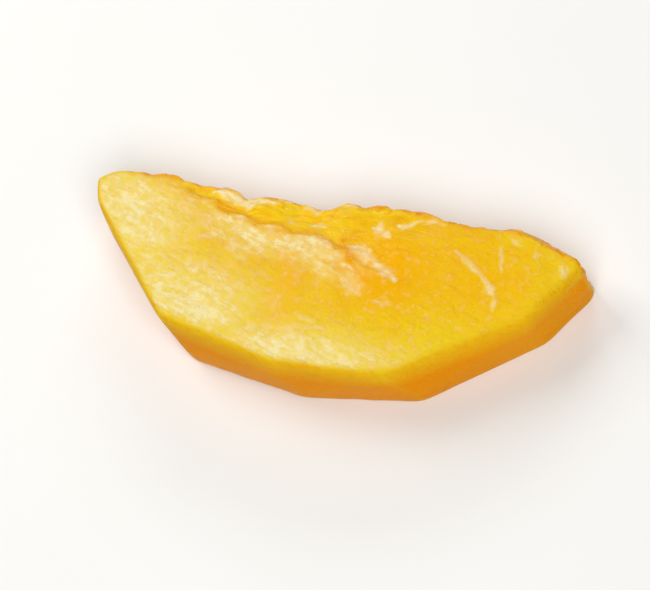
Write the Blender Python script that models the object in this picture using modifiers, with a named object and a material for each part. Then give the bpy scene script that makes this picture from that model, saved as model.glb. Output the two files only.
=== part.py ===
"""A peeled slice of ripe mango, lying on one of its two cut faces.

Metres, +Z up, with the origin under the middle of the slice, on the surface that it lies on. X runs along the
fruit, -Y is the peeled outside of the fruit, +Y is the side where the stone was, and Z is the thickness between
the two knife cuts. The slice is made as it is in a kitchen: a fruit is peeled in strokes, its cheek is cut off
beside the stone, one slice is cut out of the cheek, and the flesh along the stone is left torn.
"""

import math

import bmesh
import bpy
from mathutils import Vector, noise

MM = 0.001
NAME = "mango_slice"

# The slice
THICKNESS = 15.0 * MM
BASE_TRIM = 0.3 * MM  # flesh left under the lower face, and cut off last

# The fruit that it is cut from
FRUIT_HALF_LENGTH = 53.0 * MM
FRUIT_HALF_DEPTH = 38.5 * MM  # from the middle of the stone to the peel
FRUIT_HALF_BREADTH = 46.0 * MM
FRUIT_CENTRE = Vector((0.2 * MM, 19.4 * MM, 7.0 * MM))
FRUIT_FINENESS = 5  # subdivisions of the sphere that the fruit starts as

# Strokes of the peeling knife: the way each flat faces, round from +X, its lean up or down, and its depth
PEELING_STROKES = (
    (150, 3, 1.4 * MM),
    (172, 0, 1.6 * MM),
    (198, -3, 3.1 * MM),
    (223, 4, 4.0 * MM),
    (227, -8, 4.4 * MM),
    (258, 9, 1.5 * MM),
    (262, -6, 1.3 * MM),
    (273, 6, 0.9 * MM),
    (279, -8, 1.2 * MM),
    (305, 8, 2.6 * MM),
    (309, -6, 2.9 * MM),
    (331, 0, 2.7 * MM),
    (2, -8, 2.2 * MM),
)

# The cuts beside the stone: a point on each, and the way it faces, round from +X
STONE_SIDE_CUTS = (
    (Vector((20.0 * MM, 19.4 * MM, 0.0)), 91.5),
    (Vector((43.6 * MM, 18.2 * MM, 0.0)), 66.0),  # across the blunt end's corner
    (Vector((-47.8 * MM, 16.2 * MM, 0.0)), 124.0),  # across the thin tip
)
STONE_SIDE_LEAN = 4.0  # degrees that they lean back

# The flesh torn along the stone
TORN_DEEP = 8.0 * MM  # how far into the flesh the tearing pulls it
WHOLE_TIP = (-49.0 * MM, -38.0 * MM)  # towards the thin tip the tearing ends
# Where the back edge stands out or is torn away: place along X, how far, and half width
BACK_EDGE_SWELLS = (
    (-30.0 * MM, -0.4 * MM, 6.0 * MM),
    (-18.5 * MM, -2.0 * MM, 2.4 * MM),
    (-4.0 * MM, -1.2 * MM, 5.0 * MM),
    (11.5 * MM, 0.7 * MM, 7.0 * MM),
    (26.0 * MM, -0.7 * MM, 3.5 * MM),
)
GROOVE_DEPTH = 0.9 * MM  # the stone's groove along the back
GROOVE_Z = 6.8 * MM
GROOVE_HALF_WIDTH = 5.2 * MM
TEAR_DEPTH = 0.75 * MM
TEAR_LENGTH = 7.0 * MM
TEAR_HEIGHT = 3.2 * MM
TEAR_ROUGHNESS = (0.9, 2.0, 3)  # how fast finer tears get shallower, how much finer each is, and how many
CRUMB_DEPTH = 0.5 * MM
CRUMB_SIZE = 2.8 * MM

# The lip where the upper face breaks off towards the stone, from its left end on
LIP_LINE = (
    (-42.0 * MM, 15.5 * MM),
    (-33.0 * MM, 14.0 * MM),
    (-23.0 * MM, 12.0 * MM),
    (-14.0 * MM, 9.6 * MM),
    (-4.0 * MM, 9.4 * MM),
    (2.0 * MM, 8.0 * MM),
    (15.0 * MM, 2.6 * MM),
    (30.0 * MM, -2.0 * MM),
)
LIP_BEFORE = 0.5 * MM  # the break starts this far before the lip's line
LIP_PAST = 1.1 * MM  # and is whole this far past it
LIP_RISE = 0.3 * MM
LIP_HALF_WIDTH = 1.6 * MM

# The ledge behind the lip
LEDGE_DROP = 0.9 * MM
LEDGE_SLOPE = 0.11
LEDGE_BREADTH = 7.0 * MM
LEDGE_STARTS = (-45.0 * MM, -23.0 * MM)
LEDGE_ENDS = (8.0 * MM, 26.0 * MM)
LEDGE_LEFT_OVER = 0.2  # the share of it that goes on to the blunt end
LOBE_CENTRE = (12.0 * MM, 17.2 * MM)  # a fold of flesh left standing at the back edge
LOBE_SIZE = (8.5 * MM, 2.6 * MM)
LOBE_HEIGHT = 1.1 * MM

# The upper face
PRESSED_DEEP = 9.0 * MM  # how far down the flesh follows it
SAG_DEPTH = 1.0 * MM  # its blunt end droops that much
SAG_START_X = 12.0 * MM
WAVE_DEPTH = 0.16 * MM  # the knife's waves
WAVE_LENGTH = 14.0 * MM
WAVE_WOBBLE = 28.0 * MM
WAVE_TURN = math.radians(26)
SWELL_DEPTH = 0.35 * MM
SWELL_SIZE = 19.0 * MM

# Apart from the rest, so that each kind of roughness has its own pattern
TEAR_SEED = 8.1
CRAG_SEED = 4.4
SWELL_SEED = 2.6

# The mesh
GRAIN = 1.25 * MM
SOFTENING_ROUNDS = 5
SOFTENING = 0.5

# The look of the flesh, in linear light
FLESH_COLOUR = (0.87, 0.51, 0.021, 1)
FLESH_ROUGHNESS = 0.35


def clear_scene():
    for obj in list(bpy.data.objects):
        bpy.data.objects.remove(obj)


def ease(low, high, value):
    """0 below low, 1 above high, and smooth between them."""
    t = min(max((value - low) / (high - low), 0.0), 1.0)
    return t * t * (3 - 2 * t)


def bell(centre, half_width, value):
    return math.exp(-(((value - centre) / half_width) ** 2))


def facing(turn, lean):
    """The unit vector that faces turn degrees round from +X and leans up by lean degrees."""
    turn, lean = math.radians(turn), math.radians(lean)
    return Vector((math.cos(turn) * math.cos(lean), math.sin(turn) * math.cos(lean), math.sin(lean)))


def knife_cut(bm, point, outward):
    """Takes away what lies beyond a plane, and closes the cut."""
    everything = bm.verts[:] + bm.edges[:] + bm.faces[:]
    cut = bmesh.ops.bisect_plane(bm, geom=everything, plane_co=point, plane_no=outward, clear_outer=True)
    rim = [e for e in cut["geom_cut"] if isinstance(e, bmesh.types.BMEdge)]
    if rim:
        bmesh.ops.edgeloop_fill(bm, edges=rim)


def whole_fruit():
    bm = bmesh.new()
    bmesh.ops.create_icosphere(bm, subdivisions=FRUIT_FINENESS, radius=1.0)
    bmesh.ops.scale(bm, vec=(FRUIT_HALF_LENGTH, FRUIT_HALF_DEPTH, FRUIT_HALF_BREADTH), verts=bm.verts)
    bmesh.ops.translate(bm, vec=FRUIT_CENTRE, verts=bm.verts)
    return bm


def peel(bm):
    """Each stroke leaves a flat, a little under the skin that it touches."""
    for turn, lean, depth in PEELING_STROKES:
        outward = facing(turn, lean)
        reach = Vector(
            (outward.x * FRUIT_HALF_LENGTH, outward.y * FRUIT_HALF_DEPTH, outward.z * FRUIT_HALF_BREADTH)
        ).length
        knife_cut(bm, FRUIT_CENTRE + outward * (reach - depth), outward)


def cut_slice(bm):
    """The cuts beside the stone, then the two that part this slice from its neighbours."""
    for point, turn in STONE_SIDE_CUTS:
        knife_cut(bm, point, facing(turn, STONE_SIDE_LEAN))
    knife_cut(bm, Vector((0, 0, THICKNESS)), Vector((0, 0, 1)))
    knife_cut(bm, Vector((0, 0, -BASE_TRIM)), Vector((0, 0, -1)))


def even_mesh(bm):
    """The same shape in even squares, with its knife edges a little rounded."""
    block = bpy.data.objects.new("block", bpy.data.meshes.new("block"))
    bm.to_mesh(block.data)
    bm.free()
    bpy.context.scene.collection.objects.link(block)
    remesh = block.modifiers.new("grain", "REMESH")
    remesh.mode = "VOXEL"
    remesh.voxel_size = GRAIN
    graph = bpy.context.evaluated_depsgraph_get()
    mesh = bpy.data.meshes.new_from_object(block.evaluated_get(graph))
    bpy.data.objects.remove(block)
    even = bmesh.new()
    even.from_mesh(mesh)
    bpy.data.meshes.remove(mesh)
    for _ in range(SOFTENING_ROUNDS):
        bmesh.ops.smooth_vert(
            even, verts=even.verts, factor=SOFTENING, use_axis_x=True, use_axis_y=True, use_axis_z=True
        )
    return even


def torn_share(p):
    """How much of the stone side's tearing reaches this point, from 0 to 1."""
    inside = min((point - p).dot(facing(turn, STONE_SIDE_LEAN)) for point, turn in STONE_SIDE_CUTS)
    return (1 - ease(0, TORN_DEEP, inside)) * ease(*WHOLE_TIP, p.x)


def back_shift(p):
    """How far the back surface moves along Y: torn notches, swells, the stone's groove and crags."""
    shift = sum(height * bell(place, width, p.x) for place, height, width in BACK_EDGE_SWELLS)
    shift -= GROOVE_DEPTH * bell(GROOVE_Z, GROOVE_HALF_WIDTH, p.z)
    tears = noise.fractal(Vector((p.x / TEAR_LENGTH, TEAR_SEED, p.z / TEAR_HEIGHT)), *TEAR_ROUGHNESS)
    return shift + TEAR_DEPTH * tears + CRUMB_DEPTH * noise.noise(p / CRUMB_SIZE)


def lip_y(x):
    """The Y of the lip at this place along the slice."""
    for (x0, y0), (x1, y1) in zip(LIP_LINE, LIP_LINE[1:]):
        if x < x1:
            break
    return y0 + (y1 - y0) * min(max((x - x0) / (x1 - x0), 0.0), 1.0)


def ledge_shift(p):
    """How far the flesh behind the lip lies below the upper face, with its crags, and the lip's own rise."""
    past_lip = p.y - lip_y(p.x)
    broken = ease(-LIP_BEFORE, LIP_PAST, past_lip)
    crags = noise.fractal(Vector((p.x / TEAR_LENGTH, p.y / TEAR_HEIGHT, CRAG_SEED)), *TEAR_ROUGHNESS)
    drop = LEDGE_DROP + LEDGE_SLOPE * min(max(past_lip, 0.0), LEDGE_BREADTH)
    shift = broken * (TEAR_DEPTH * crags - drop) + LIP_RISE * bell(-LIP_BEFORE, LIP_HALF_WIDTH, past_lip)
    share = ease(*LEDGE_STARTS, p.x) * (1 - (1 - LEDGE_LEFT_OVER) * ease(*LEDGE_ENDS, p.x))
    return share * shift


def upper_shift(p):
    """How far the upper face moves along Z: the knife's waves, its droop, the torn ledge and its lobe."""
    along = p.x * math.cos(WAVE_TURN) + p.y * math.sin(WAVE_TURN)
    wobble = noise.noise(Vector((p.x, p.y, 0)) / WAVE_WOBBLE)
    shift = -WAVE_DEPTH * (1 + math.cos(2 * math.pi * (along / WAVE_LENGTH + wobble)))
    shift += SWELL_DEPTH * noise.noise(Vector((p.x / SWELL_SIZE, p.y / SWELL_SIZE, SWELL_SEED)))
    droop = max(p.x - SAG_START_X, 0.0) / (FRUIT_HALF_LENGTH - SAG_START_X)
    lobe = bell(LOBE_CENTRE[0], LOBE_SIZE[0], p.x) * bell(LOBE_CENTRE[1], LOBE_SIZE[1], p.y)
    return shift - SAG_DEPTH * droop * droop + ledge_shift(p) + LOBE_HEIGHT * lobe


def shape_surface(bm):
    """Moves the flesh near the upper face and near the stone, by less the deeper it lies."""
    for v in bm.verts:
        pressed = 1 - ease(0, PRESSED_DEEP, THICKNESS - v.co.z)
        v.co += Vector((0, torn_share(v.co) * back_shift(v.co), pressed * upper_shift(v.co)))


def centre(bm):
    """Puts the middle of the slice's box on the Z axis."""
    xs = [v.co.x for v in bm.verts]
    ys = [v.co.y for v in bm.verts]
    middle = Vector((min(xs) + max(xs), min(ys) + max(ys), 0)) / 2
    bmesh.ops.translate(bm, vec=-middle, verts=bm.verts)


def flesh():
    """Wet, ripe mango flesh."""
    material = bpy.data.materials.new("ripe_mango_flesh")
    material.use_nodes = True
    shader = material.node_tree.nodes["Principled BSDF"]
    shader.inputs["Base Color"].default_value = FLESH_COLOUR
    shader.inputs["Roughness"].default_value = FLESH_ROUGHNESS
    shader.inputs["Metallic"].default_value = 0.0
    return material


def mango_slice():
    bm = whole_fruit()
    peel(bm)
    cut_slice(bm)
    bm = even_mesh(bm)
    shape_surface(bm)
    knife_cut(bm, Vector((0, 0, 0)), Vector((0, 0, -1)))
    centre(bm)
    mesh = bpy.data.meshes.new(NAME)
    bm.to_mesh(mesh)
    bm.free()
    mesh.shade_smooth()
    mesh.materials.append(flesh())
    return bpy.data.objects.new(NAME, mesh)


def main():
    clear_scene()
    collection = bpy.data.collections.new(NAME)
    bpy.context.scene.collection.children.link(collection)
    collection.objects.link(mango_slice())


main()
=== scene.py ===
# %% [markdown]
# # A slice of ripe mango
#
# This lesson dresses one peeled slice of mango, which lies on one of its two knife cuts. Flesh is a hard
# thing to make: it has no panels or seams to lean on, and all that the eye reads is soft form, wet gloss
# and light that goes in and comes out again. So the slice is carved here as it is in a kitchen, with the
# same cuts as the solid that it replaces, but from a mesh fine enough to carry the torn fibres, the drag of
# the knife and the pores.
#
# The frame is the solid slice's own: metres, Z up, X along the slice from its thin tip to its blunt end,
# the peeled outside towards -Y and the side where the stone was towards +Y.

# %% Load the frame
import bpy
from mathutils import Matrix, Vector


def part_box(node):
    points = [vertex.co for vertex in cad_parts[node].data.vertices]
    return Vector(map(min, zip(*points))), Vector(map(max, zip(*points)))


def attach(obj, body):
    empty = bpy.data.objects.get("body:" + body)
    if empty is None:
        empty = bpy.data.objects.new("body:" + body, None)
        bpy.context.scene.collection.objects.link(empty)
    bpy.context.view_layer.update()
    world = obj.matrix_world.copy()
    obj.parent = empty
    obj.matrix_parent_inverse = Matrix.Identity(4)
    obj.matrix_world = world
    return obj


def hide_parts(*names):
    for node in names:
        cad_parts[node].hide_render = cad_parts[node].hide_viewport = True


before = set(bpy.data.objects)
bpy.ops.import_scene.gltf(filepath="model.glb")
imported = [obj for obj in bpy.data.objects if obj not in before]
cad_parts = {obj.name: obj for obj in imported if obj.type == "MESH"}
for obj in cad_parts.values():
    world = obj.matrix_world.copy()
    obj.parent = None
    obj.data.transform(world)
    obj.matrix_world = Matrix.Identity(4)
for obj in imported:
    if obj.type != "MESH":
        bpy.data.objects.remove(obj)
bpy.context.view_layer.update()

# %% The modules that the lesson uses
import math
import random

import bmesh
import bpy
from mathutils import Matrix, Vector, geometry, noise
from mathutils.bvhtree import BVHTree

MM = 0.001
print("Blender", bpy.app.version_string)

# %% [markdown]
# ## Colours
#
# Colours are written as the eye meets them on a screen, as hex values. Blender's shaders count in linear
# light, so one function turns every one of them.

# %% A hex colour in linear light
def linear(hex_colour):
    """The red, green, blue and alpha in linear light of a colour written as "#RRGGBB"."""
    channels = [int(hex_colour[i : i + 2], 16) / 255 for i in (1, 3, 5)]
    return tuple(c / 12.92 if c <= 0.04045 else ((c + 0.055) / 1.055) ** 2.4 for c in channels) + (1.0,)


print("golden flesh in linear light:", [round(c, 3) for c in linear("#F5C21C")])

# %% [markdown]
# ## The camera
#
# The slice is seen from above its right front, from 60 degrees up, by a long lens from about a metre away,
# as food is often shot. The camera is rolled a little, so that the slice runs down to the right across the
# picture.

# %% Set the camera
VIEW_AZIMUTH = math.radians(42.2)
VIEW_ELEVATION = math.radians(60)
VIEW_ROLL = math.radians(-27.8)
VIEW_DISTANCE = 1.1
VIEW_WIDTH = 124 * MM  # what the picture takes in, from side to side, at the slice
SENSOR_MM = 36
VIEW_TARGET = Vector((0.0, 0.0, 7.5 * MM))

towards_camera = Vector(
    (
        math.sin(VIEW_AZIMUTH) * math.cos(VIEW_ELEVATION),
        -math.cos(VIEW_AZIMUTH) * math.cos(VIEW_ELEVATION),
        math.sin(VIEW_ELEVATION),
    )
)
camera = bpy.data.objects.new("camera", bpy.data.cameras.new("camera"))
bpy.context.scene.collection.objects.link(camera)
camera.data.sensor_width = SENSOR_MM
camera.data.lens = SENSOR_MM * VIEW_DISTANCE / VIEW_WIDTH
camera.data.clip_start = 10 * MM
aim = (-towards_camera).to_track_quat("-Z", "Y").to_matrix().to_4x4()
place = Matrix.Translation(VIEW_TARGET + towards_camera * VIEW_DISTANCE)
camera.matrix_world = place @ aim @ Matrix.Rotation(VIEW_ROLL, 4, "Z")
bpy.context.scene.camera = camera
print("lens:", round(camera.data.lens), "mm")

# %% [markdown]
# ## One function for every material
#
# A material is a handful of nodes with settings and links. This function adds one node: keywords set what
# the node is, and the dictionary fills its sockets, with a value or with the output of a node made before
# it. A second, built on it, mixes two colours.

# %% Add a node
def add(tree, kind, inputs=None, **settings):
    """Adds a node of this kind to a material's tree, sets and links it, and gives it back."""
    new = tree.nodes.new(kind)
    for name, value in settings.items():
        setattr(new, name, value)
    for socket, value in (inputs or {}).items():
        if isinstance(value, bpy.types.NodeSocket):
            tree.links.new(value, new.inputs[socket])
        else:
            new.inputs[socket].default_value = value
    return new


# %% Mix two colours
MIX_COLOURS = (6, 7)  # a Mix node has sockets for every type of value, and these take colours
MIXED_COLOUR = 2


def blend(tree, share, under, over):
    """All of the colour under where share is 0, and all of the colour over where it is 1."""
    sockets = dict(zip(MIX_COLOURS, (under, over)), Factor=share)
    return add(tree, "ShaderNodeMix", sockets, data_type="RGBA").outputs[MIXED_COLOUR]


print("sockets for the colours to mix:", MIX_COLOURS)

# %% [markdown]
# ## The table top
#
# A pale matt top is all that the slice needs under it. It is a plain sheet, far larger than the picture,
# with a breath of unevenness in its tone, so that it doesn't read as a void.

# %% Lay the table top
TOP_SIDE = 3.0
TOP_COLOUR = "#F8F8F7"
TOP_SHADE = "#F4F4F2"
TOP_MOTTLE_MM = 60

sheet = bmesh.new()
bmesh.ops.create_grid(sheet, x_segments=1, y_segments=1, size=TOP_SIDE / 2)
table_top = bpy.data.objects.new("table_top", bpy.data.meshes.new("table_top"))
sheet.to_mesh(table_top.data)
sheet.free()
bpy.context.scene.collection.objects.link(table_top)

matt_top = bpy.data.materials.new("matt_painted_top")
matt_top.use_nodes = True
tree = matt_top.node_tree
spot = add(tree, "ShaderNodeTexCoord").outputs["Object"]
# a pattern's Scale counts how often it repeats in a metre, so a size in mm becomes 1000 / size
mottle = add(tree, "ShaderNodeTexNoise", {"Vector": spot, "Scale": 1000 / TOP_MOTTLE_MM, "Detail": 2.0})
tone = blend(tree, mottle.outputs["Fac"], linear(TOP_COLOUR), linear(TOP_SHADE))
shader = tree.nodes["Principled BSDF"]
tree.links.new(tone, shader.inputs["Base Color"])
shader.inputs["Roughness"].default_value = 0.6
table_top.data.materials.append(matt_top)
print("table top:", TOP_SIDE, "m square")

# %% [markdown]
# ## The light
#
# Golden flesh keeps its colour only where it mirrors nothing bright, and turns creamy where it mirrors a
# window. So three soft lights share the work. A broad one on the camera's side lights the flesh and stays
# out of its mirror directions. A window on the left lies just where the left half of the flat cut face
# mirrors it. A low light behind the slice glints on the wet torn edge. The room itself is dim, because
# flesh mirrors all of it.

# %% Light the slice
def softbox(name, place, width, height, power, colour="#FFFFFF"):
    """Hangs a light that many metres wide and high, of that many watts, and turns it to the slice."""
    lamp = bpy.data.lights.new(name, "AREA")
    lamp.shape = "RECTANGLE"
    lamp.size = width
    lamp.size_y = height
    lamp.energy = power
    lamp.color = linear(colour)[:3]
    box = bpy.data.objects.new(name, lamp)
    bpy.context.scene.collection.objects.link(box)
    box.location = place
    box.rotation_euler = Vector(place).to_track_quat("Z", "Y").to_euler()


softbox("camera_side_light", (0.38, -0.52, 0.88), 0.8, 0.7, 9.1)
softbox("left_window", (-0.42, 0.16, 0.46), 0.34, 0.4, 1.8, "#FFFCF6")
softbox("low_back_light", (-0.15, 0.75, 0.36), 0.5, 0.2, 1.9)

room = bpy.data.worlds.new("dim_room")
room.use_nodes = True
room.node_tree.nodes["Background"].inputs["Color"].default_value = linear("#FBFAF6")
room.node_tree.nodes["Background"].inputs["Strength"].default_value = 0.11
bpy.context.scene.world = room
bpy.context.scene.view_settings.view_transform = "Standard"

# %% [markdown]
# ## The fruit, its peeling and its cuts
#
# These are the solid's own sizes. The fruit starts as a ball stretched to a mango's three widths. Each
# stroke of the peeling knife is a plane just under the skin, and the slice is what is left between the
# cuts.

# %% The sizes of the fruit
THICKNESS = 15.0 * MM
BASE_TRIM = 0.3 * MM  # flesh left under the lower face, and cut off last
FRUIT_HALF_LENGTH = 53.0 * MM
FRUIT_HALF_DEPTH = 38.5 * MM
FRUIT_HALF_BREADTH = 46.0 * MM
FRUIT_CENTRE = Vector((0.2 * MM, 19.4 * MM, 7.0 * MM))
FRUIT_FINENESS = 6  # subdivisions of the sphere that the fruit starts as
print("whole fruit:", round(2 * FRUIT_HALF_LENGTH / MM), "mm long")

# %% The knife's strokes and cuts
# Strokes of the peeling knife: the way each flat faces, round from +X, its lean up or down, and its depth
PEELING_STROKES = (
    (150, 3, 1.4 * MM),
    (172, 0, 1.6 * MM),
    (198, -3, 3.1 * MM),
    (223, 4, 4.0 * MM),
    (227, -8, 4.4 * MM),
    (258, 9, 1.5 * MM),
    (262, -6, 1.3 * MM),
    (273, 6, 0.9 * MM),
    (279, -8, 1.2 * MM),
    (305, 8, 2.6 * MM),
    (309, -6, 2.9 * MM),
    (331, 0, 2.7 * MM),
    (2, -8, 2.2 * MM),
)
# The cuts beside the stone: a point on each, and the way it faces, round from +X
STONE_SIDE_CUTS = (
    (Vector((20.0 * MM, 19.4 * MM, 0.0)), 91.5),
    (Vector((43.6 * MM, 18.2 * MM, 0.0)), 66.0),
    (Vector((-47.8 * MM, 16.2 * MM, 0.0)), 124.0),
)
STONE_SIDE_LEAN = 4.0  # degrees up
print("peeling strokes:", len(PEELING_STROKES), " cuts beside the stone:", len(STONE_SIDE_CUTS))

# %% Small helpers for shapes
def ease(low, high, value):
    """0 below low, 1 above high, and smooth between them."""
    t = min(max((value - low) / (high - low), 0.0), 1.0)
    return t * t * (3 - 2 * t)


def bell(centre, half_width, value):
    """1 at the centre, about a third at half_width from it, and 0 far off."""
    return math.exp(-(((value - centre) / half_width) ** 2))


def facing(turn, lean):
    """The unit vector that faces turn degrees round from +X and leans up by lean degrees."""
    turn, lean = math.radians(turn), math.radians(lean)
    return Vector((math.cos(turn) * math.cos(lean), math.sin(turn) * math.cos(lean), math.sin(lean)))


print("eased, a quarter of the way:", ease(0, 1, 0.25))

# %% The planes that bound the slice, each as a point and the way it faces outwards
PEEL_PLANES = []
for turn, lean, depth in PEELING_STROKES:
    outward = facing(turn, lean)
    reach = Vector(
        (outward.x * FRUIT_HALF_LENGTH, outward.y * FRUIT_HALF_DEPTH, outward.z * FRUIT_HALF_BREADTH)
    ).length
    PEEL_PLANES.append((FRUIT_CENTRE + outward * (reach - depth), outward))
STONE_PLANES = [(point, facing(turn, STONE_SIDE_LEAN)) for point, turn in STONE_SIDE_CUTS]


def depth_under(planes, p):
    """How deep a point lies under the nearest of these planes."""
    return min((point - p).dot(outward) for point, outward in planes)


print("fruit's centre lies", round(depth_under(PEEL_PLANES, FRUIT_CENTRE) / MM, 1), "mm under the peel")

# %% Peel the fruit and cut the slice
def knife_cut(bm, point, outward):
    """Takes away what lies beyond a plane, and closes the cut."""
    everything = bm.verts[:] + bm.edges[:] + bm.faces[:]
    cut = bmesh.ops.bisect_plane(bm, geom=everything, plane_co=point, plane_no=outward, clear_outer=True)
    rim = [e for e in cut["geom_cut"] if isinstance(e, bmesh.types.BMEdge)]
    if rim:
        bmesh.ops.edgeloop_fill(bm, edges=rim)


flesh = bmesh.new()
bmesh.ops.create_icosphere(flesh, subdivisions=FRUIT_FINENESS, radius=1.0)
bmesh.ops.scale(flesh, vec=(FRUIT_HALF_LENGTH, FRUIT_HALF_DEPTH, FRUIT_HALF_BREADTH), verts=flesh.verts)
bmesh.ops.translate(flesh, vec=FRUIT_CENTRE, verts=flesh.verts)
for point, outward in PEEL_PLANES + STONE_PLANES:
    knife_cut(flesh, point, outward)
knife_cut(flesh, Vector((0, 0, THICKNESS)), Vector((0, 0, 1)))
knife_cut(flesh, Vector((0, 0, -BASE_TRIM)), Vector((0, 0, -1)))
print("carved slice:", len(flesh.faces), "faces")

# %% [markdown]
# ## An even skin of small squares
#
# Relief needs points everywhere, and the knife cuts left none on the flats. A voxel remesh gives an even
# mesh of small squares, and smoothing rounds the knife's edges, which are crisp for a moment only in soft
# fruit. The smoothing runs for a number of rounds worked out from how far the edges are to be rounded.

# %% Remesh and soften
GRAIN = 0.29 * MM
EDGE_SOFTENING = 4.2 * MM * MM  # grows with the square of the edges' radius
SOFTENING = 0.5  # how far each round of smoothing moves a point towards its neighbours

block = bpy.data.objects.new("block", bpy.data.meshes.new("block"))
flesh.to_mesh(block.data)
flesh.free()
bpy.context.scene.collection.objects.link(block)
remesh = block.modifiers.new("grain", "REMESH")
remesh.mode = "VOXEL"
remesh.voxel_size = GRAIN
graph = bpy.context.evaluated_depsgraph_get()
even = bpy.data.meshes.new_from_object(block.evaluated_get(graph))
bpy.data.objects.remove(block)
flesh = bmesh.new()
flesh.from_mesh(even)
bpy.data.meshes.remove(even)
for _ in range(round(EDGE_SOFTENING / (SOFTENING * GRAIN * GRAIN))):
    bmesh.ops.smooth_vert(
        flesh, verts=flesh.verts, factor=SOFTENING, use_axis_x=True, use_axis_y=True, use_axis_z=True
    )
print("even mesh:", len(flesh.verts), "points")

# %% [markdown]
# ## Where each point lies
#
# Flesh changes from the peel to the stone: pale and firm under the skin, deep orange and soft by the stone.
# So each point keeps how deep it lies under the peel and under the stone side, and how wet and torn it is.
# Shapes and colours both read these.

# %% Note the depths before anything moves
class Spot:
    """A point of the slice as the knife left it."""

    def __init__(self, p):
        self.p = p.copy()
        self.under_peel = max(depth_under(PEEL_PLANES, p), 0.0)
        self.under_stone_side = max(depth_under(STONE_PLANES, p), 0.0)
        self.under_top = max(THICKNESS - p.z, 0.0)


spots = [Spot(v.co) for v in flesh.verts]
print("deepest under the peel:", round(max(s.under_peel for s in spots) / MM, 1), "mm")

# %% [markdown]
# ## The flesh torn along the stone
#
# Beside the stone the knife gives way to tearing. The upper face breaks off along a lip, and behind it lies
# a lower, wetter ledge of soft orange flesh, with a fold left standing at the back edge. The wall behind
# has the stone's groove and is craggy. All of this is the solid's relief, made again here from the same
# sizes. Only the lip is softer here than on the solid: in a skin this fine, as steep a drop shows as a dark
# line.

# %% Sizes of the torn side
TORN_DEEP = 8.0 * MM  # how deep under the stone side the tearing reaches
WHOLE_TIP = (-49.0 * MM, -38.0 * MM)  # the tip is whole, and between these two X the tearing sets in
BACK_EDGE_SWELLS = (  # the X of each, how far it stands out, and half its width
    (-30.0 * MM, -0.4 * MM, 6.0 * MM),
    (-18.5 * MM, -2.0 * MM, 2.4 * MM),
    (-4.0 * MM, -1.2 * MM, 5.0 * MM),
    (11.5 * MM, 0.7 * MM, 7.0 * MM),
    (26.0 * MM, -0.7 * MM, 3.5 * MM),
)
GROOVE_DEPTH = 0.9 * MM
GROOVE_Z = 6.8 * MM
GROOVE_HALF_WIDTH = 5.2 * MM
TEAR_DEPTH = 0.75 * MM
TEAR_LENGTH = 7.0 * MM
TEAR_HEIGHT = 3.2 * MM
TEAR_ROUGHNESS = (0.9, 2.0, 3)  # how fast finer tears fade, how much finer each kind is, and how many kinds
CRUMB_DEPTH = 0.5 * MM
CRUMB_SIZE = 2.8 * MM
TEAR_SEED = 8.1
CRAG_SEED = 4.4
SWELL_SEED = 2.6


def torn_share(spot):
    """How much of the stone side's tearing reaches this point, from 0 to 1."""
    return (1 - ease(0, TORN_DEEP, depth_under(STONE_PLANES, spot.p))) * ease(*WHOLE_TIP, spot.p.x)


def back_shift(p):
    """How far the back surface moves along Y: torn notches, swells, the stone's groove and crags."""
    shift = sum(height * bell(place, width, p.x) for place, height, width in BACK_EDGE_SWELLS)
    shift -= GROOVE_DEPTH * bell(GROOVE_Z, GROOVE_HALF_WIDTH, p.z)
    tears = noise.fractal(Vector((p.x / TEAR_LENGTH, TEAR_SEED, p.z / TEAR_HEIGHT)), *TEAR_ROUGHNESS)
    return shift + TEAR_DEPTH * tears + CRUMB_DEPTH * noise.noise(p / CRUMB_SIZE)


print("back edge at X = 0 moves by", round(back_shift(Vector((0, 0, 0))) / MM, 2), "mm")

# %% Sizes of the lip and of the ledge behind it
LIP_LINE = (  # X and Y of points along it
    (-42.0 * MM, 15.5 * MM),
    (-33.0 * MM, 14.0 * MM),
    (-23.0 * MM, 12.0 * MM),
    (-14.0 * MM, 9.6 * MM),
    (-4.0 * MM, 9.4 * MM),
    (2.0 * MM, 8.0 * MM),
    (15.0 * MM, 2.6 * MM),
    (30.0 * MM, -2.0 * MM),
)
LIP_BEFORE = 0.6 * MM  # the drop starts so far before the lip's line
LIP_PAST = 2.2 * MM  # and ends so far past it
LIP_RISE = 0.1 * MM
LIP_HALF_WIDTH = 1.6 * MM
LIP_SEED = 1.2
LIP_FRAY = 1.5 * MM  # how far the lip's fraying reaches to and fro
LIP_FRAY_LENGTH = 5.0 * MM
LIP_FRAY_WIDTH = 2.2 * MM
LEDGE_DROP = 0.9 * MM
LEDGE_SLOPE = 0.11
LEDGE_BREADTH = 7.0 * MM
LEDGE_STARTS = (-45.0 * MM, -23.0 * MM)  # from no ledge to all of it, along X
LEDGE_ENDS = (8.0 * MM, 26.0 * MM)  # and from all of it to what is left over at the blunt end
LEDGE_LEFT_OVER = 0.2
LOBE_CENTRE = (12.0 * MM, 17.2 * MM)
LOBE_SIZE = (8.5 * MM, 2.6 * MM)
LOBE_HEIGHT = 1.1 * MM
ledge_foot = LEDGE_DROP + LEDGE_SLOPE * LEDGE_BREADTH
print("ledge's foot lies", round(ledge_foot / MM, 2), "mm below the upper face")


# %% How the flesh breaks off along the lip
def lip_y(x):
    """The Y of the lip at this place along the slice."""
    for (x0, y0), (x1, y1) in zip(LIP_LINE, LIP_LINE[1:]):
        if x < x1:
            break
    return y0 + (y1 - y0) * min(max((x - x0) / (x1 - x0), 0.0), 1.0)


def past_lip(p):
    """How far a point lies behind the frayed lip, towards the stone."""
    fray = noise.fractal(Vector((p.x / LIP_FRAY_LENGTH, p.y / LIP_FRAY_WIDTH, LIP_SEED)), *TEAR_ROUGHNESS)
    return p.y - lip_y(p.x) - LIP_FRAY * fray


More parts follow.
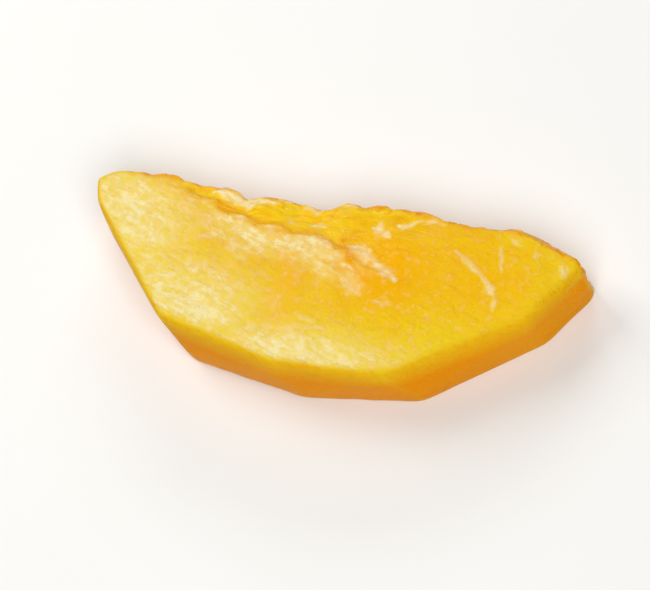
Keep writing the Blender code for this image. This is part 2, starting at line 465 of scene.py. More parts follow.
def ledge_share(p):
    """How much of the ledge there is at this place along the slice, from 0 to 1."""
    return ease(*LEDGE_STARTS, p.x) * (1 - (1 - LEDGE_LEFT_OVER) * ease(*LEDGE_ENDS, p.x))


def ledge_shift(p):
    """How far the flesh behind the lip lies below the upper face, with its crags, and the lip's own rise."""
    past = past_lip(p)
    broken = ease(-LIP_BEFORE, LIP_PAST, past)
    crags = noise.fractal(Vector((p.x / TEAR_LENGTH, p.y / TEAR_HEIGHT, CRAG_SEED)), *TEAR_ROUGHNESS)
    drop = LEDGE_DROP + LEDGE_SLOPE * min(max(past, 0.0), LEDGE_BREADTH)
    shift = broken * (TEAR_DEPTH * crags - drop) + LIP_RISE * bell(-LIP_BEFORE, LIP_HALF_WIDTH, past)
    return ledge_share(p) * shift


print("lip at X = 0 lies at Y =", round(lip_y(0) / MM, 1), "mm")

# %% The upper face's slow waves, droop and lobe
PRESSED_DEEP = 9.0 * MM  # how deep under the upper face its relief still moves the flesh
SAG_DEPTH = 1.0 * MM
SAG_START_X = 12.0 * MM
WAVE_DEPTH = 0.16 * MM
WAVE_LENGTH = 14.0 * MM
WAVE_WOBBLE = 28.0 * MM
WAVE_TURN = math.radians(26)  # the way the waves run, round from +X
SWELL_DEPTH = 0.35 * MM
SWELL_SIZE = 19.0 * MM


def upper_shift(p):
    """How far the upper face moves along Z: the knife's waves, its droop, the torn ledge and its lobe."""
    along = p.x * math.cos(WAVE_TURN) + p.y * math.sin(WAVE_TURN)
    wobble = noise.noise(Vector((p.x, p.y, 0)) / WAVE_WOBBLE)
    shift = -WAVE_DEPTH * (1 + math.cos(2 * math.pi * (along / WAVE_LENGTH + wobble)))
    shift += SWELL_DEPTH * noise.noise(Vector((p.x / SWELL_SIZE, p.y / SWELL_SIZE, SWELL_SEED)))
    droop = max(p.x - SAG_START_X, 0.0) / (FRUIT_HALF_LENGTH - SAG_START_X)
    lobe = bell(LOBE_CENTRE[0], LOBE_SIZE[0], p.x) * bell(LOBE_CENTRE[1], LOBE_SIZE[1], p.y)
    return shift - SAG_DEPTH * droop * droop + ledge_shift(p) + LOBE_HEIGHT * lobe


print("middle of the upper face moves by", round(upper_shift(Vector((0, 0, THICKNESS))) / MM, 2), "mm")

# %% Move the flesh
for v, spot in zip(flesh.verts, spots):
    pressed = 1 - ease(0, PRESSED_DEEP, spot.under_top)
    v.co += Vector((0, torn_share(spot) * back_shift(spot.p), pressed * upper_shift(spot.p)))
flesh.normal_update()
moves = [(v.co - spot.p).length for v, spot in zip(flesh.verts, spots)]
print("farthest that a point moved:", round(max(moves) / MM, 2), "mm")

# %% [markdown]
# ## Where the cut face is creamy and where it is deep
#
# The cut face isn't one colour. Towards the tip, along its curved rim and beside the lip its opened cells
# have dried a little, and look creamy; that cream is also a painted sheen, where the face mirrors the window.
# Right of the middle lies a smooth wet hollow of deep amber.

# %% Patches on the cut face: the middle of each, its reach along and across, and its strength
# Painted sheen: the creamy patches stand partly for dried flesh and partly for the window's reflection on the
# cut face
CREAMY_AND_SHEEN_PATCHES = (
    (-41.5 * MM, 7 * MM, 15 * MM, 12 * MM, 1.0),
    (-25 * MM, -7 * MM, 15 * MM, 7 * MM, 1.0),
    (2 * MM, -15 * MM, 20 * MM, 5 * MM, 1.0),
    (-19.5 * MM, -10 * MM, 9 * MM, 4.5 * MM, 1.1),
)
DEEP_PATCHES = (
    (14 * MM, 4 * MM, 11 * MM, 8 * MM, 1.0),
    (-4 * MM, -3 * MM, 4 * MM, 9 * MM, 0.5),
    (34 * MM, 6 * MM, 12 * MM, 9 * MM, 0.6),
)
LIP_CREAM_HALF_WIDTH = 3.4 * MM
LIP_CREAM_MIDDLE = -0.7 * LIP_CREAM_HALF_WIDTH  # before the lip's line
LIP_CREAM_STARTS = (-34 * MM, -16 * MM)
LIP_CREAM_ENDS = (2 * MM, 13 * MM)
CREAM_EVERYWHERE = 0.14
CREAM_FADES = (-12 * MM, 16 * MM)  # the X between which the cream that lies everywhere fades
CREAM_LOST = 0.8  # and the share of it that has gone beyond them
print("creamy patches:", len(CREAMY_AND_SHEEN_PATCHES), " deep ones:", len(DEEP_PATCHES))


# %% How creamy or deep a point is
def in_patches(patches, p):
    """How far a point lies in the patches, from 0 to the strongest one's strength."""
    return max(share * bell(x, along, p.x) * bell(y, across, p.y) for x, y, along, across, share in patches)


def lip_cream(p, past):
    """How creamy the frayed lip and the painted sheen beside it make a point that lies so far past it, from 0
    to 1.
    """
    share = bell(LIP_CREAM_MIDDLE, LIP_CREAM_HALF_WIDTH, past)
    return share * ease(*LIP_CREAM_STARTS, p.x) * (1 - ease(*LIP_CREAM_ENDS, p.x))


print("cream near the tip:", round(in_patches(CREAMY_AND_SHEEN_PATCHES, Vector((-40 * MM, 5 * MM, THICKNESS))), 2))

# %% [markdown]
# ## Pale bundles of fibre and painted glints, and orange creases of painted shade
#
# Here and there a bundle of fibres lies just under the surface and shows as a short cream mark, a little
# raised: a fork near the blunt end, streaks on the lip. The pale marks under the fold of the back edge, along
# that edge and at the blunt end are painted glints of wet flesh, raised a little like the bundles. Where the
# lip has split, short orange creases are painted as shade. Each mark is a line that the points are measured
# from, so that the flesh itself can swell and change its colour along it.

# %% The marks on the upper side
PALE_MARKS_AND_GLINTS = (  # in mm: from X, Y to X, Y, half the width; then how pale it is
    (-3.5, 9, 1.5, 8, 0.8, 0.6),
    (5, 9, 10.5, 7, 1.4, 0.7),
    (9.5, 7, 16.5, 3, 0.9, 0.75),
    (-4.5, 12.5, -1, 12, 0.7, 0.7),
    (-9, 12.5, -7.5, 12, 0.5, 0.5),
    # Painted glints: these three rows paint the glints at the foot of the fold, over raised marks
    (8, 13.5, 12, 12.5, 0.8, 1.0),
    (13, 14.5, 18, 16, 0.5, 0.9),
    (18, 16, 22.5, 16.5, 0.3, 0.6),
    (25.5, 12, 33, 7, 0.45, 0.6),
    (29.5, 10, 36, 4.5, 0.35, 0.6),
    (33.5, 6.5, 36, 4, 0.8, 0.75),
    (34.5, 14.5, 36, 9, 0.4, 0.5),
    (36, 4, 37, 0.5, 0.35, 0.4),
    # Painted glints: these three rows paint glints on the back edge towards the blunt end
    (36, 16.5, 38, 15.5, 0.6, 0.4),
    (41, 15, 42.5, 12, 0.45, 0.35),
    (47, 12.5, 48.5, 10.5, 0.8, 0.45),
    # Painted glints: these four rows paint the glints along the fold of the back edge
    (-25, 15.5, -13, 15.5, 1.3, 1.0),
    (-11, 16.5, -9.5, 17.5, 0.7, 0.8),
    (-7, 16, -3, 17, 0.6, 0.7),
    (1, 17, 4.5, 18, 0.5, 0.7),
    (-1, -7, 4, -8.5, 0.6, 0.4),
    (6.5, 1, 10.5, -1, 0.9, 0.4),
    (13.5, -1.5, 17, -2, 0.6, 0.35),
    (-18.5, 3.5, -14, 2, 0.7, 0.35),
)
# Painted shade: the orange creases where the lip has split are colour only, with no relief under them
ORANGE_SHADE_MARKS = (  # the same for the orange creases
    (0, 4.5, 8.5, 3, 0.5, 0.6),
    (3, 10, 7.5, 4.5, 1.5, 1.0),
    (7.5, 4.5, 12, 1.5, 0.9, 0.8),
)
MARK_HEIGHT = 0.14 * MM
MARK_WANDER = 0.8 * MM
MARK_WANDER_LENGTH = 2.6 * MM
MARK_FRAY = 0.9  # how ragged a mark's edge is, as a share of its width
MARK_FRAY_LENGTH = 1.1 * MM
MARK_THINNEST = 0.35  # its width at its two ends, as a share of the width in its middle
MARK_TAPER = 0.4  # how much of its length each end takes to thin out
MARK_EDGE = (0.1, 1.8)  # across, in half widths: where it starts to fade and where it has gone
print("pale marks:", len(PALE_MARKS_AND_GLINTS), " orange ones:", len(ORANGE_SHADE_MARKS))


# %% How far a point lies in a mark
def in_marks(marks, p):
    """How far a point of the upper side lies in the nearest mark, from 0 to that mark's share."""
    bend = MARK_WANDER * noise.noise(p / MARK_WANDER_LENGTH)
    flat = Vector((p.x + bend, p.y - bend))
    fray = MARK_FRAY * noise.noise(p / MARK_FRAY_LENGTH)
    strongest = 0.0
    for x0, y0, x1, y1, half_width, share in marks:
        start, end = Vector((x0, y0)) * MM, Vector((x1, y1)) * MM
        along = min(max(geometry.intersect_point_line(flat, start, end)[1], 0.0), 1.0)
        taper = MARK_THINNEST + (1 - MARK_THINNEST) * ease(0, MARK_TAPER, min(along, 1 - along))
        away = (flat - start.lerp(end, along)).length / (taper * half_width * MM)
        strongest = max(strongest, share * (1 - ease(*MARK_EDGE, away + fray)))
    return strongest


print("middle of the first mark:", round(in_marks(PALE_MARKS_AND_GLINTS, Vector((-1, 8.5, 0)) * MM), 2))

# %% [markdown]
# ## Fine relief
#
# Three surfaces have three kinds of fine relief. Torn flesh is a bed of soft rounded strands, drawn out
# along the fruit, with wet creases between them. A cut face shows a little of the strands that the knife
# dragged, and pores here and there. The peeled outside is smooth, with the faint flutes of the peeler.

# %% Sizes of the fine relief
STRAND_LENGTH = 7.0 * MM
STRAND_WIDTH = 1.7 * MM
STRAND_DEPTH = 0.4 * MM
STRAND_SEED = 3.3
STRAND_GAIN = 2.2  # brings noise, which seldom passes 0.5, to about 1
STRAND_MIDDLE = 0.5  # the height that counts as level, as a share of a strand's
THREAD_LENGTH = 3.4 * MM
THREAD_WIDTH = 0.8 * MM
THREAD_DEPTH = 0.12 * MM
THREAD_SEED = 9.7
# Painted shade: an orange band is painted along the lip's drop, where its shadow falls, and no cream lies on
# it
LIP_EDGE = 0.7 * MM  # past the lip's line: no cream lies here, and the orange shows
LIP_EDGE_HALF_WIDTH = 1.1 * MM
LIP_EDGE_SHADE = 0.5
LEDGE_CREASE_SHADE = 0.4  # how much of the wall's creases the ledge has
BLUNT_END = (34 * MM, 42 * MM)
BLUNT_END_CALM = 0.6  # how much of the torn relief the blunt end loses
LEDGE_STRANDS = 0.38  # the ledge is pressed smoother than the wall behind it
LUMP_LENGTH = 3.6 * MM
LUMP_WIDTH = 1.9 * MM
LUMP_DEPTH = 0.18 * MM
LUMP_SEED = 7.7
DRAG_LENGTH = 4.0 * MM
DRAG_WIDTH = 0.8 * MM
DRAG_DEPTH = 0.07 * MM
DRAG_SEED = 5.2
DRAG_WANDER = 2.5 * MM
DRAG_TURN = math.radians(-20)  # the way the knife dragged, round from +X
SMOOTH_HOLLOW = 0.55  # how much of a cut face's relief the wet hollow loses
PORE_SPACING = 3.4 * MM
PORE_CHANCE = 0.3
PORE_SEED = 7.31
PORE_DRAWN_OUT = 0.3  # pores are longer along Z, so a step along it counts for less
PORE_HALF_WIDTH = 0.42 * MM
PORE_DEPTH = 0.2 * MM
FLUTE_LENGTH = 5.4 * MM
FLUTE_DEPTH = 0.09 * MM
FLUTE_DRAWN_OUT = 0.4  # and so are flutes
FACE_REACH = 1.6 * MM  # how far round an edge what belongs to one face fades out
RIM_REACH = 0.7 * MM  # the same for the cut face over its rim, where its colour ends crisply
print("deepest fine relief:", STRAND_DEPTH / MM, "mm")


# %% How high each kind of relief stands
def strands(p, length, width, seed):
    """Rounded ridges along X, from 0 in the creases between them to about 1."""
    bend = DRAG_WANDER * noise.noise(p / STRAND_LENGTH)
    drawn_out_place = Vector((p.x / length + seed, (p.y + bend) / width, (p.z + bend) / width))
    return STRAND_GAIN * abs(noise.noise(drawn_out_place))


def pore(p):
    """1 in the middle of a pore, and 0 away from one."""
    distances, centres = noise.voronoi(Vector((p.x, p.y, PORE_DRAWN_OUT * p.z)) / PORE_SPACING)
    if noise.cell(centres[0] * PORE_SEED) > PORE_CHANCE:
        return 0.0
    return bell(0, PORE_HALF_WIDTH / PORE_SPACING, distances[0])


def cut_relief(p):
    """What the knife leaves on a cut face: soft lumps, and fine strands dragged along its way."""
    along = p.x * math.cos(DRAG_TURN) + p.y * math.sin(DRAG_TURN)
    across = p.y * math.cos(DRAG_TURN) - p.x * math.sin(DRAG_TURN)
    across += DRAG_WANDER * noise.noise(p / STRAND_LENGTH)
    lumps = LUMP_DEPTH * noise.noise(Vector((along / LUMP_LENGTH, across / LUMP_WIDTH, LUMP_SEED)))
    drag = DRAG_DEPTH * noise.noise(Vector((along / DRAG_LENGTH, across / DRAG_WIDTH, DRAG_SEED)))
    return lumps + drag - PORE_DEPTH * pore(p)


def peeler_flute(p):
    """The faint hollows and ridges that the peeler leaves round the fruit."""
    round_fruit = math.atan2(p.y - FRUIT_CENTRE.y, p.x - FRUIT_CENTRE.x) * FRUIT_HALF_LENGTH
    return FLUTE_DEPTH * noise.noise(Vector((round_fruit, FLUTE_DRAWN_OUT * p.z, 0)) / FLUTE_LENGTH)


print("cut relief at the middle:", round(cut_relief(Vector((0, 0, THICKNESS))) / MM, 3), "mm")


# %% What surface each point belongs to
class Surface:
    """Which of the slice's surfaces a point belongs to, as shares from 0 to 1, and its fine relief."""

    def __init__(self, spot):
        p = spot.p
        past = past_lip(p)
        upper = 1 - ease(0, FACE_REACH, spot.under_top)
        self.deep = in_patches(DEEP_PATCHES, p)
        broken = upper * ledge_share(p) * (1 - self.deep)
        self.ledge = broken * ease(-LIP_BEFORE, LIP_PAST, past)
        self.back = (1 - ease(0, FACE_REACH, spot.under_stone_side)) * ease(*WHOLE_TIP, p.x)
        self.torn = max(self.back, self.ledge)
        rim = 1 - ease(0, RIM_REACH, spot.under_top)
        self.cut = rim * (1 - self.torn)
        self.peeled = (1 - ease(0, FACE_REACH, spot.under_peel)) * (1 - rim) * (1 - self.torn)
        strand = strands(p, STRAND_LENGTH, STRAND_WIDTH, STRAND_SEED)
        lip_shade = broken * bell(LIP_EDGE, LIP_EDGE_HALF_WIDTH, past)
        # Painted shade: the creases between the torn strands, and the lip's drop, are painted deeper orange
        # where shade falls
        torn_crease_shade = max(self.back, LEDGE_CREASE_SHADE * self.ledge) * (1 - ease(0, STRAND_MIDDLE, strand))
        split_shade = upper * in_marks(ORANGE_SHADE_MARKS, p) if upper > 0 else 0.0
        self.crease_shade = max(torn_crease_shade, LIP_EDGE_SHADE * lip_shade, split_shade)
        everywhere = CREAM_EVERYWHERE * (1 - CREAM_LOST * ease(*CREAM_FADES, p.x)) * (1 - self.deep)
        creamiest = max(in_patches(CREAMY_AND_SHEEN_PATCHES, p), lip_cream(p, past), everywhere)
        self.creamy = self.cut * (1 - max(self.crease_shade, lip_shade)) * creamiest
        self.pale = upper * in_marks(PALE_MARKS_AND_GLINTS, p) if upper > 0 else 0.0
        thread = strands(p, THREAD_LENGTH, THREAD_WIDTH, THREAD_SEED)
        torn_relief = STRAND_DEPTH * (strand - STRAND_MIDDLE) + THREAD_DEPTH * thread
        craggy_back = self.back * (1 - BLUNT_END_CALM * ease(*BLUNT_END, p.x))
        self.height = (
            max(craggy_back, LEDGE_STRANDS * self.ledge) * torn_relief
            + self.cut * (1 - SMOOTH_HOLLOW * self.deep) * cut_relief(p)
            + self.peeled * peeler_flute(p)
            + MARK_HEIGHT * self.pale
        )


print("relief at the first point:", round(Surface(spots[0]).height / MM, 3), "mm")

# %% Raise the fine relief
surfaces = [Surface(spot) for spot in spots]
for v, surface in zip(flesh.verts, surfaces):
    v.co += v.normal * surface.height
print("torn surface:", round(100 * sum(s.torn > 0.5 for s in surfaces) / len(surfaces)), "% of the points")
print("creamy flesh:", round(100 * sum(s.creamy > 0.4 for s in surfaces) / len(surfaces)), "% of the points")

# %% [markdown]
# ## From carving to a finished piece
#
# The depths, in millimetres, and the shares are stored on the mesh, where the material reads them. They are
# written before the last cut, because that cut adds points along the base: Blender works out their values
# from their neighbours.

# %% Store the depths and the shares
LAYERS = {
    "under_peel_mm": [s.under_peel / MM for s in spots],
    "under_top_mm": [s.under_top / MM for s in spots],
}
for share in ("back", "ledge", "crease_shade", "peeled", "creamy", "deep", "pale", "cut"):
    LAYERS[share] = [getattr(s, share) for s in surfaces]
for name, values in LAYERS.items():
    layer = flesh.verts.layers.float.new(name)
    for v, value in zip(flesh.verts, values):
        v[layer] = value
print("stored on the mesh:", list(LAYERS))

# %% Cut the base flat and centre the slice
knife_cut(flesh, Vector((0, 0, 0)), Vector((0, 0, -1)))
low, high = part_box("mango_slice")
xs = [v.co.x for v in flesh.verts]
ys = [v.co.y for v in flesh.verts]
middle = Vector((min(xs) + max(xs), min(ys) + max(ys), 0)) / 2
bmesh.ops.translate(flesh, vec=-middle, verts=flesh.verts)
fit = (
    (high.x - low.x) / (max(xs) - min(xs)),
    (high.y - low.y) / (max(ys) - min(ys)),
    (high.z - low.z) / max(v.co.z for v in flesh.verts),
)
bmesh.ops.scale(flesh, vec=[min(f, 1.0) for f in fit], verts=flesh.verts)
print("brought to the solid's size by", [round(f, 4) for f in fit])

# %% Make the piece
FACING_DOWN = -0.999  # the base's faces point down, and no others do
slice_of_mango = bpy.data.objects.new("mango_flesh_piece", bpy.data.meshes.new("mango_flesh_piece"))
bmesh.ops.triangulate(flesh, faces=[f for f in flesh.faces if len(f.verts) > 4])
FLESH_SURFACE = BVHTree.FromBMesh(flesh)
flesh.normal_update()
for e in flesh.edges:
    if len(e.link_faces) == 2:
        on_base = sum(f.normal.z < FACING_DOWN for f in e.link_faces)
        e.smooth = on_base != 1  # the rim of the flat base stays crisp
flesh.to_mesh(slice_of_mango.data)
flesh.free()
slice_of_mango.data.shade_smooth()
bpy.context.scene.collection.objects.link(slice_of_mango)
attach(slice_of_mango, "root")
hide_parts("mango_slice")
slice_of_mango.data.calc_loop_triangles()
print("flesh:", len(slice_of_mango.data.loop_triangles), "triangles")

# %% [markdown]
# ## Ripe mango flesh
#
# Flesh is juice held in fine cells, so its IOR is a little above water's, and light goes some millimetres
# into it before it comes out. Red goes furthest and blue hardly at all: thin edges glow warm. The colour
# runs from pale lemon under the peel to deep orange by the stone. Where the knife passed, the opened cells
# scatter light and look paler and duller, and part of that cream is a painted sheen of the window. Where
# the flesh is torn it is wet, and looks deeper and glossier.

# %% Colours and sizes of the flesh
LEMON = "#F3D41E"
GOLD = "#F3C810"
ORANGE = "#F3B200"
PAINTED_SHADE_AMBER = "#F29600"
STONE_ORANGE = "#F7A602"
# painted shade: the orange of creases, of the lip's drop and of the lip's splits
CREASE_SHADE_ORANGE = "#F29A02"
WET_GOLD = "#FBCF1A"
CREAM_AND_SHEEN = "#FBE8AA"
PALE_FIBRE_AND_GLINT = "#FDECBE"
CLOUD_MM = 9
STREAK_LENGTH_MM = 5
STREAK_WIDTH_MM = 1.0
SPECKLE_MM = 1.4
CELL_MM = 0.6
GRAIN_MM = 0.3
BLOTCH_LENGTH_MM = 4.5
BLOTCH_WIDTH_MM = 2.4

ripe = bpy.data.materials.new("ripe_mango_flesh")
ripe.use_nodes = True
tree = ripe.node_tree
shader = tree.nodes["Principled BSDF"]
place_on_slice = add(tree, "ShaderNodeTexCoord").outputs["Object"]
stored = {name: add(tree, "ShaderNodeAttribute", attribute_name=name).outputs["Fac"] for name in LAYERS}
print("material:", ripe.name)

# %% Patterns: soft clouds, streaks along the fruit, speckles, cells and grain
clouds = add(tree, "ShaderNodeTexNoise", {"Vector": place_on_slice, "Scale": 1000 / CLOUD_MM, "Detail": 3.0})
turned = add(
    tree, "ShaderNodeMapping", {"Vector": place_on_slice, "Rotation": (0, 0, -DRAG_TURN)}
).outputs["Vector"]


def drawn_out(length_mm, width_mm):
    """Coordinates in which noise is drawn out along the way that the knife dragged."""
    scale = (1000 / length_mm, 1000 / width_mm, 1000 / width_mm)
    return add(tree, "ShaderNodeMapping", {"Vector": turned, "Scale": scale}).outputs["Vector"]


streaks = add(
    tree,
    "ShaderNodeTexNoise",
    {"Vector": drawn_out(STREAK_LENGTH_MM, STREAK_WIDTH_MM), "Scale": 1.0, "Detail": 4.0, "Distortion": 1.2},
)
# noise has a grid of its own, and this turns it askew so that it never lines up with the slice
ASKEW = (0.6, 0.4, 0.65)  # radians
askew = add(tree, "ShaderNodeMapping", {"Vector": place_on_slice, "Rotation": ASKEW}).outputs["Vector"]
speckles = add(
    tree,
    "ShaderNodeTexNoise",
    {"Vector": askew, "Scale": 1000 / SPECKLE_MM, "Detail": 4.0, "Roughness": 0.65},
)
blotches = add(
    tree,
    "ShaderNodeTexNoise",
    {"Vector": drawn_out(BLOTCH_LENGTH_MM, BLOTCH_WIDTH_MM), "Scale": 1.0, "Detail": 2.0, "Distortion": 0.8},
)
cells = add(
    tree, "ShaderNodeTexVoronoi", {"Vector": place_on_slice, "Scale": 1000 / CELL_MM}, feature="SMOOTH_F1"
)
grain = add(tree, "ShaderNodeTexNoise", {"Vector": place_on_slice, "Scale": 1000 / GRAIN_MM, "Detail": 3.0})
print("finest pattern:", GRAIN_MM, "mm")

# %% Colour from the peel to the stone: the depth, in mm, that wanders with the patterns
LEMON_DEPTH_MM = -3.0
ORANGE_DEPTH_MM = 29.0
GOLD_AT = 0.44  # between the two
NOISE_MIDDLE = 0.5
depth = stored["under_peel_mm"]
for pattern, wandering_mm in ((clouds, 14.0), (blotches, 36.0), (speckles, 60.0)):
    height = pattern.outputs["Fac"]
    centred = add(tree, "ShaderNodeMath", {0: height, 1: NOISE_MIDDLE}, operation="SUBTRACT").outputs[0]
    depth = add(
        tree, "ShaderNodeMath", {0: centred, 1: wandering_mm, 2: depth}, operation="MULTIPLY_ADD"
    ).outputs[0]
through = add(
    tree, "ShaderNodeMapRange", {"Value": depth, "From Min": LEMON_DEPTH_MM, "From Max": ORANGE_DEPTH_MM}
)
inner = add(tree, "ShaderNodeValToRGB", {"Fac": through.outputs["Result"]})
ramp = inner.color_ramp
ramp.elements[0].color = linear(LEMON)
ramp.elements[1].color = linear(ORANGE)
ramp.elements.new(GOLD_AT).color = linear(GOLD)
print("colours from the peel inwards:", LEMON, GOLD, ORANGE)

# %% Tints: the peeled outside is painted lemon at its rim as glowing light and amber below as shade, and torn flesh has its own oranges, with painted shade in its creases
RIM_STARTS_MM = 0.6
RIM_ENDS_MM = 6.0
RIM_PAINTED_SHADE = 0.35  # how amber the rim already is
# Painted light and shade: the peeled wall turns from lemon at its rim, a painted glow of light through the
# thin edge, to darker amber lower down, which is painted shade and orange light bounced between slices
shade_below_rim = add(
    tree,
    "ShaderNodeMapRange",
    {
        "Value": stored["under_top_mm"],
        "From Min": RIM_STARTS_MM,
        "From Max": RIM_ENDS_MM,
        "To Min": RIM_PAINTED_SHADE,
    },
)
painted_shade_share = add(
    tree, "ShaderNodeMath", {0: stored["peeled"], 1: shade_below_rim.outputs["Result"]}, operation="MULTIPLY"
)
tints = (
    (painted_shade_share.outputs[0], PAINTED_SHADE_AMBER),
    (stored["ledge"], WET_GOLD),
    (stored["back"], STONE_ORANGE),
    (stored["crease_shade"], CREASE_SHADE_ORANGE),
    (stored["deep"], ORANGE),
)
colour = inner.outputs["Color"]
for share, tint in tints:
    colour = blend(tree, share, colour, linear(tint))
print("tints over them:", [tint for _, tint in tints])

# %% Creamy where opened cells have dried, and where a painted sheen stands in for the window's reflection
# Each row mottles a share with a pattern: the range of the pattern that counts, and what the share is
# multiplied by at the two ends of that range
MOTTLING = (
    ("creamy", blotches, 0.38, 0.6, 0.6, 1.2),
    ("creamy", streaks, 0.38, 0.62, 0.6, 1.2),
    ("creamy", speckles, 0.38, 0.62, 0.5, 1.25),
    ("cut", speckles, 0.53, 0.72, 0.0, 0.3),
    ("pale", speckles, 0.35, 0.6, 0.4, 1.0),
)
mottled = dict(stored)
for share, pattern, low, high, least, most in MOTTLING:
    mottle = add(
        tree,
        "ShaderNodeMapRange",
        {"Value": pattern.outputs["Fac"], "From Min": low, "From Max": high, "To Min": least, "To Max": most},
    )
    mottled[share] = add(
        tree, "ShaderNodeMath", {0: mottled[share], 1: mottle.outputs["Result"]}, operation="MULTIPLY"
    ).outputs[0]
# Painted sheen and glints: the cream is partly dried flesh and partly a painted reflection of the window, and
# the pale marks are partly painted glints
for share, tint in (("creamy", CREAM_AND_SHEEN), ("cut", CREAM_AND_SHEEN), ("pale", PALE_FIBRE_AND_GLINT)):
    colour = blend(tree, mottled[share], colour, linear(tint))
tree.links.new(colour, shader.inputs["Base Color"])
print("mottled:", sorted({row[0] for row in MOTTLING}))

# %% Gloss: torn flesh is wettest, and cream is wetter than the rest of the cut face
CUT_ROUGHNESS = 0.36
TORN_ROUGHNESS = 0.18
ROUGHNESS_MOTTLE = 0.12
CREAM_WETNESS = 0.55
LEAST_JUICE = 0.04
MOST_JUICE = 0.28
torn = add(tree, "ShaderNodeMath", {0: stored["back"], 1: stored["ledge"]}, operation="MAXIMUM").outputs[0]
dull = add(tree, "ShaderNodeMapRange", {"Value": torn, "To Min": CUT_ROUGHNESS, "To Max": TORN_ROUGHNESS})
roughness = add(
    tree,
    "ShaderNodeMath",
    {0: speckles.outputs["Fac"], 1: ROUGHNESS_MOTTLE, 2: dull.outputs["Result"]},
    operation="MULTIPLY_ADD",
)
tree.links.new(roughness.outputs[0], shader.inputs["Roughness"])
wetness = add(
    tree,
    "ShaderNodeMath",
    {0: stored["creamy"], 1: CREAM_WETNESS, 2: torn},
    operation="MULTIPLY_ADD",
    use_clamp=True,
)
juice_film = add(
    tree, "ShaderNodeMapRange", {"Value": wetness.outputs[0], "To Min": LEAST_JUICE, "To Max": MOST_JUICE}
)
tree.links.new(juice_film.outputs["Result"], shader.inputs["Coat Weight"])
shader.inputs["Coat Roughness"].default_value = 0.1
shader.inputs["Coat IOR"].default_value = 1.35
shader.inputs["IOR"].default_value = 1.38
shader.inputs["Specular IOR Level"].default_value = 0.04  # the film of juice above does the mirroring
print("IOR:", round(shader.inputs["IOR"].default_value, 2))

# %% Light inside the flesh
shader.inputs["Subsurface Weight"].default_value = 0.4
shader.inputs["Subsurface Radius"].default_value = (1.0, 0.5, 0.15)
shader.inputs["Subsurface Scale"].default_value = 1.8 * MM
print("red light goes in about", round(shader.inputs["Subsurface Scale"].default_value / MM, 1), "mm")

# %% Relief too fine for the mesh, which the juice fills in the hollow
HOLLOW_RELIEF = 0.45
FINEST_RELIEF = (  # the pattern, how much of it shows, and how high it stands in mm
    (cells.outputs["Distance"], 0.6, 0.18),
    (streaks.outputs["Fac"], 0.9, 0.45),
    (speckles.outputs["Fac"], 0.9, 0.55),
    (grain.outputs["Fac"], 0.6, 0.1),
)
unfilled = add(tree, "ShaderNodeMapRange", {"Value": stored["deep"], "To Min": 1.0, "To Max": HOLLOW_RELIEF})
normal = None
for height, strength, depth_mm in FINEST_RELIEF:
    shown = add(tree, "ShaderNodeMath", {0: unfilled.outputs["Result"], 1: strength}, operation="MULTIPLY")
    sockets = {"Height": height, "Strength": shown.outputs[0], "Distance": depth_mm * MM}
    if normal:
        sockets["Normal"] = normal
    normal = add(tree, "ShaderNodeBump", sockets).outputs["Normal"]
tree.links.new(normal, shader.inputs["Normal"])
slice_of_mango.data.materials.append(ripe)
print("kinds of finest relief:", len(FINEST_RELIEF))

# %% [markdown]
# ## Fibres
#
# A mango's fibres grow out of the husk of its stone. Where flesh is torn away they stay behind as pale
# threads, half sunk in the wet surface. Each is a spline of one curve with a round section, which is the
# short way to a thread: its points are dropped onto the flesh, and it swells and tapers by the radius at
# each point.

# %% Sizes of the threads, and the curve that they are splines of
FIBRE_HALF_THICKNESS = 0.09 * MM
FIBRE_STEP = 0.5 * MM
LONGEST_STEP = 1.2 * MM  # past an edge the next point would lie far below, so the fibre ends there
SHORTEST_FIBRE = 4  # points
FIBRE_WANDER = 0.35  # radians to either side
FIBRE_BEND_LENGTH = 5.0 * MM
FIBRE_LIFT = 0.1  # how far a thread's middle stands above the flesh, as a share of its half thickness
FAR = 40 * MM  # well off the slice, where a point starts that is dropped onto it
UP = Vector((0, 0, 1))
BACKWARDS = Vector((0, 1, 0))

fibres = bpy.data.curves.new("fibres", "CURVE")
fibres.dimensions = "3D"
fibres.bevel_depth = 1.0  # so a point's radius is the thread's half thickness there, in metres
fibres.bevel_resolution = 1
fibres.use_fill_caps = True
print("thickest thread:", 2 * FIBRE_HALF_THICKNESS / MM, "mm")


# %% Lay a thread on the flesh
def lay_fibre(start, turn, length, towards, thickness=1.0):
    """Lays a fibre from start, turned from the X axis, on the side of the flesh that faces towards."""
    across = UP if towards == BACKWARDS else BACKWARDS
    steps = max(round(length / FIBRE_STEP), SHORTEST_FIBRE - 1)
    place, points = start.copy(), []
    for _ in range(steps + 1):
        hit, normal, _, _ = FLESH_SURFACE.ray_cast(place + towards * FAR, -towards)
        if hit is None or (points and (hit - points[-1]).length > LONGEST_STEP):
            break
        points.append(hit + normal * FIBRE_HALF_THICKNESS * FIBRE_LIFT)
        heading = turn + FIBRE_WANDER * noise.noise(place / FIBRE_BEND_LENGTH)
        place += (Vector((1, 0, 0)) * math.cos(heading) + across * math.sin(heading)) * FIBRE_STEP
    if len(points) < SHORTEST_FIBRE:
        return
    spline = fibres.splines.new("POLY")
    spline.points.add(len(points) - 1)
    for i, (point, co) in enumerate(zip(spline.points, points)):
        point.co = (*co, 1)
        taper = math.sin(math.pi * (i + 0.5) / len(points)) ** 0.5
        point.radius = FIBRE_HALF_THICKNESS * thickness * taper


print("threads run up to", FIBRE_WANDER, "radians off their way")

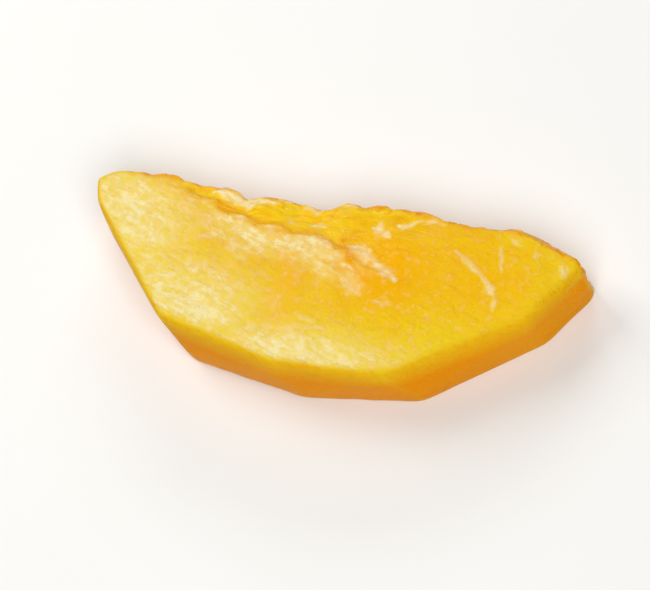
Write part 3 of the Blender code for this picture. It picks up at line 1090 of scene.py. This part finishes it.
# %% Fibres along the lip, on the ledge and on the torn wall
# Each is drawn at random: its place and its length in mm, its turn in radians, and its thickness as a share
# of the thickest
FIBRE_SEED = 12
LIP_FIBRES = 14
LEDGE_FIBRES = 16
WALL_FIBRES = 70
draw = random.Random(FIBRE_SEED)
for _ in range(LIP_FIBRES):
    x = draw.uniform(-36, 14) * MM
    place = Vector((x, lip_y(x) + draw.gauss(0.0, 0.9) * MM, 0))
    lay_fibre(place, draw.gauss(-0.3, 0.2), draw.uniform(1.5, 4) * MM, UP, draw.uniform(0.5, 0.8))
for _ in range(LEDGE_FIBRES):
    place = Vector((draw.uniform(-22, 26), draw.uniform(11, 16), 0)) * MM
    lay_fibre(place, draw.gauss(-0.1, 0.25), draw.uniform(1.5, 5) * MM, UP, draw.uniform(0.4, 0.7))
for _ in range(WALL_FIBRES):
    place = Vector((draw.uniform(-42, 38), 0, draw.uniform(2, 13))) * MM
    lay_fibre(place, draw.gauss(0, 0.25), draw.uniform(2, 7) * MM, BACKWARDS, draw.uniform(0.4, 0.8))
print("fibres so far:", len(fibres.splines))

# %% Threads that stand out of the pale marks
THREADS_PER_MARK = 2
MARK_SPLAY = 0.12  # radians
# The marks were placed before the slice was centred, so the threads take the same step by -middle
for x0, y0, x1, y1, half_width, _ in PALE_MARKS_AND_GLINTS:
    for _ in range(THREADS_PER_MARK):
        start = Vector((x0 + draw.gauss(0, half_width), y0 + draw.gauss(0, half_width), 0)) * MM - middle
        run = Vector((x1, y1, 0)) * MM - middle - start
        turn = math.atan2(run.y, run.x) + draw.gauss(0, MARK_SPLAY)
        lay_fibre(start, turn, run.length * draw.uniform(0.5, 0.9), UP, draw.uniform(0.5, 0.8))
print("fibres:", len(fibres.splines))

# %% Make the fibres a mesh piece
drawn = bpy.data.objects.new("drawn_fibres", fibres)
bpy.context.scene.collection.objects.link(drawn)
graph = bpy.context.evaluated_depsgraph_get()
fibre_mesh = bpy.data.meshes.new_from_object(drawn.evaluated_get(graph))
fibre_piece = bpy.data.objects.new("mango_fibres", fibre_mesh)
bpy.data.objects.remove(drawn)
fibre_piece.data.shade_smooth()
bpy.context.scene.collection.objects.link(fibre_piece)
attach(fibre_piece, "root")
print("fibres:", len(fibre_mesh.polygons), "faces")

# %% Fibres soaked in juice
FIBRE_PALE = "#F9DC80"
FIBRE_YELLOW = "#F5C43A"
FIBRE_TONE_MM = 2.5  # how long a stretch of one tone is
husk_fibre = bpy.data.materials.new("husk_fibre_in_juice")
husk_fibre.use_nodes = True
tree = husk_fibre.node_tree
shader = tree.nodes["Principled BSDF"]
place_on_slice = add(tree, "ShaderNodeTexCoord").outputs["Object"]
tone = add(tree, "ShaderNodeTexNoise", {"Vector": place_on_slice, "Scale": 1000 / FIBRE_TONE_MM})
colour = blend(tree, tone.outputs["Fac"], linear(FIBRE_PALE), linear(FIBRE_YELLOW))
tree.links.new(colour, shader.inputs["Base Color"])
shader.inputs["Roughness"].default_value = 0.3
shader.inputs["IOR"].default_value = 1.4
shader.inputs["Coat Weight"].default_value = 0.2
shader.inputs["Coat Roughness"].default_value = 0.14
fibre_piece.data.materials.append(husk_fibre)
print("material:", husk_fibre.name)
